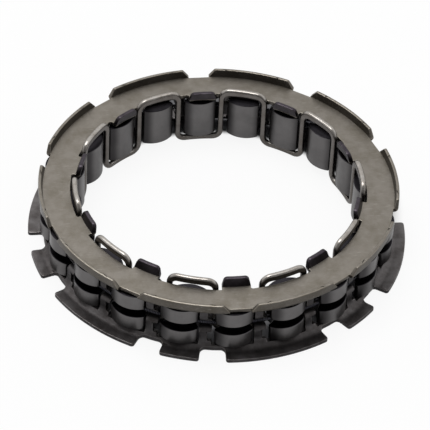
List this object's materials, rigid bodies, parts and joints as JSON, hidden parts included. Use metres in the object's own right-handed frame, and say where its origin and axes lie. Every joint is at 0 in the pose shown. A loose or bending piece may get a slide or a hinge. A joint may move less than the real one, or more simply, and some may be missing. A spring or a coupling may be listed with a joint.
{
  "type": "sprag clutch",
  "caption": "One-way clutch insert: rocking sprags between a slotted outer cage with a petalled flange and a meandering inner cage, closed by a notched side plate.",
  "frame": {"origin": "on the ring axis, in the plane of the flange's underside", "axes": "+Z along the ring axis from the flange towards the side plate; +X through the middle of sprag 1"},
  "size_m": [0.0696, 0.0696, 0.0122],
  "materials": {
    "cage_steel": "drawn carbon steel strip, hardened dark grey-brown, lightly oiled",
    "plate_steel": "stamped steel, light warm grey, satin",
    "inner_cage_steel": "pressed spring steel strip, tumbled bright",
    "spring_steel": "oiled dark music wire",
    "sprag_steel": "drawn and hardened bearing steel, vibro-finished"
  },
  "bodies": {
    "outer_cage": {"outer_cage": "cage_steel", "side_plate": "plate_steel", "garter_spring": "spring_steel"},
    "inner_cage": {"inner_cage": "inner_cage_steel"},
    "sprag_01": {"sprag_01": "sprag_steel"},
    "sprag_02": {"sprag_02": "sprag_steel"},
    "sprag_03": {"sprag_03": "sprag_steel"},
    "sprag_04": {"sprag_04": "sprag_steel"},
    "sprag_05": {"sprag_05": "sprag_steel"},
    "sprag_06": {"sprag_06": "sprag_steel"},
    "sprag_07": {"sprag_07": "sprag_steel"},
    "sprag_08": {"sprag_08": "sprag_steel"},
    "sprag_09": {"sprag_09": "sprag_steel"},
    "sprag_10": {"sprag_10": "sprag_steel"},
    "sprag_11": {"sprag_11": "sprag_steel"},
    "sprag_12": {"sprag_12": "sprag_steel"},
    "sprag_13": {"sprag_13": "sprag_steel"},
    "sprag_14": {"sprag_14": "sprag_steel"},
    "sprag_15": {"sprag_15": "sprag_steel"},
    "sprag_16": {"sprag_16": "sprag_steel"},
    "sprag_17": {"sprag_17": "sprag_steel"},
    "sprag_18": {"sprag_18": "sprag_steel"},
    "sprag_19": {"sprag_19": "sprag_steel"},
    "sprag_20": {"sprag_20": "sprag_steel"}
  },
  "joints": [
    {"name": "sprag_01_rock", "type": "hinge", "parent": "outer_cage", "child": "sprag_01", "pos_m": [0.028, 0, 0.0055], "axis": [0, 0, 1], "range_deg": [-6, 3], "stiffness_Nm_per_rad": 0.004},
    {"name": "sprag_02_rock", "type": "hinge", "parent": "outer_cage", "child": "sprag_02", "pos_m": [0.02663, 0.00865, 0.0055], "axis": [0, 0, 1], "range_deg": [-6, 3]},
    {"name": "sprag_03_rock", "type": "hinge", "parent": "outer_cage", "child": "sprag_03", "pos_m": [0.02265, 0.01646, 0.0055], "axis": [0, 0, 1], "range_deg": [-6, 3]},
    {"name": "sprag_04_rock", "type": "hinge", "parent": "outer_cage", "child": "sprag_04", "pos_m": [0.01646, 0.02265, 0.0055], "axis": [0, 0, 1], "range_deg": [-6, 3]},
    {"name": "sprag_05_rock", "type": "hinge", "parent": "outer_cage", "child": "sprag_05", "pos_m": [0.00865, 0.02663, 0.0055], "axis": [0, 0, 1], "range_deg": [-6, 3]},
    {"name": "sprag_06_rock", "type": "hinge", "parent": "outer_cage", "child": "sprag_06", "pos_m": [0, 0.028, 0.0055], "axis": [0, 0, 1], "range_deg": [-6, 3]},
    {"name": "sprag_07_rock", "type": "hinge", "parent": "outer_cage", "child": "sprag_07", "pos_m": [-0.00865, 0.02663, 0.0055], "axis": [0, 0, 1], "range_deg": [-6, 3]},
    {"name": "sprag_08_rock", "type": "hinge", "parent": "outer_cage", "child": "sprag_08", "pos_m": [-0.01646, 0.02265, 0.0055], "axis": [0, 0, 1], "range_deg": [-6, 3]},
    {"name": "sprag_09_rock", "type": "hinge", "parent": "outer_cage", "child": "sprag_09", "pos_m": [-0.02265, 0.01646, 0.0055], "axis": [0, 0, 1], "range_deg": [-6, 3]},
    {"name": "sprag_10_rock", "type": "hinge", "parent": "outer_cage", "child": "sprag_10", "pos_m": [-0.02663, 0.00865, 0.0055], "axis": [0, 0, 1], "range_deg": [-6, 3]},
    {"name": "sprag_11_rock", "type": "hinge", "parent": "outer_cage", "child": "sprag_11", "pos_m": [-0.028, 0, 0.0055], "axis": [0, 0, 1], "range_deg": [-6, 3]},
    {"name": "sprag_12_rock", "type": "hinge", "parent": "outer_cage", "child": "sprag_12", "pos_m": [-0.02663, -0.00865, 0.0055], "axis": [0, 0, 1], "range_deg": [-6, 3]},
    {"name": "sprag_13_rock", "type": "hinge", "parent": "outer_cage", "child": "sprag_13", "pos_m": [-0.02265, -0.01646, 0.0055], "axis": [0, 0, 1], "range_deg": [-6, 3]},
    {"name": "sprag_14_rock", "type": "hinge", "parent": "outer_cage", "child": "sprag_14", "pos_m": [-0.01646, -0.02265, 0.0055], "axis": [0, 0, 1], "range_deg": [-6, 3]},
    {"name": "sprag_15_rock", "type": "hinge", "parent": "outer_cage", "child": "sprag_15", "pos_m": [-0.00865, -0.02663, 0.0055], "axis": [0, 0, 1], "range_deg": [-6, 3]},
    {"name": "sprag_16_rock", "type": "hinge", "parent": "outer_cage", "child": "sprag_16", "pos_m": [0, -0.028, 0.0055], "axis": [0, 0, 1], "range_deg": [-6, 3]},
    {"name": "sprag_17_rock", "type": "hinge", "parent": "outer_cage", "child": "sprag_17", "pos_m": [0.00865, -0.02663, 0.0055], "axis": [0, 0, 1], "range_deg": [-6, 3]},
    {"name": "sprag_18_rock", "type": "hinge", "parent": "outer_cage", "child": "sprag_18", "pos_m": [0.01646, -0.02265, 0.0055], "axis": [0, 0, 1], "range_deg": [-6, 3]},
    {"name": "sprag_19_rock", "type": "hinge", "parent": "outer_cage", "child": "sprag_19", "pos_m": [0.02265, -0.01646, 0.0055], "axis": [0, 0, 1], "range_deg": [-6, 3]},
    {"name": "sprag_20_rock", "type": "hinge", "parent": "outer_cage", "child": "sprag_20", "pos_m": [0.02663, -0.00865, 0.0055], "axis": [0, 0, 1], "range_deg": [-6, 3]},
    {"name": "inner_cage_turn", "type": "hinge", "parent": "outer_cage", "child": "inner_cage", "pos_m": [0, 0, 0], "axis": [0, 0, 1], "range_deg": [-0.2, 0.4]}
  ],
  "couplings": [
    {"joint": "sprag_02_rock", "follows": "sprag_01_rock", "ratio": 1},
    {"joint": "sprag_03_rock", "follows": "sprag_01_rock", "ratio": 1},
    {"joint": "sprag_04_rock", "follows": "sprag_01_rock", "ratio": 1},
    {"joint": "sprag_05_rock", "follows": "sprag_01_rock", "ratio": 1},
    {"joint": "sprag_06_rock", "follows": "sprag_01_rock", "ratio": 1},
    {"joint": "sprag_07_rock", "follows": "sprag_01_rock", "ratio": 1},
    {"joint": "sprag_08_rock", "follows": "sprag_01_rock", "ratio": 1},
    {"joint": "sprag_09_rock", "follows": "sprag_01_rock", "ratio": 1},
    {"joint": "sprag_10_rock", "follows": "sprag_01_rock", "ratio": 1},
    {"joint": "sprag_11_rock", "follows": "sprag_01_rock", "ratio": 1},
    {"joint": "sprag_12_rock", "follows": "sprag_01_rock", "ratio": 1},
    {"joint": "sprag_13_rock", "follows": "sprag_01_rock", "ratio": 1},
    {"joint": "sprag_14_rock", "follows": "sprag_01_rock", "ratio": 1},
    {"joint": "sprag_15_rock", "follows": "sprag_01_rock", "ratio": 1},
    {"joint": "sprag_16_rock", "follows": "sprag_01_rock", "ratio": 1},
    {"joint": "sprag_17_rock", "follows": "sprag_01_rock", "ratio": 1},
    {"joint": "sprag_18_rock", "follows": "sprag_01_rock", "ratio": 1},
    {"joint": "sprag_19_rock", "follows": "sprag_01_rock", "ratio": 1},
    {"joint": "sprag_20_rock", "follows": "sprag_01_rock", "ratio": 1},
    {"joint": "inner_cage_turn", "follows": "sprag_01_rock", "ratio": -0.0646}
  ]
}
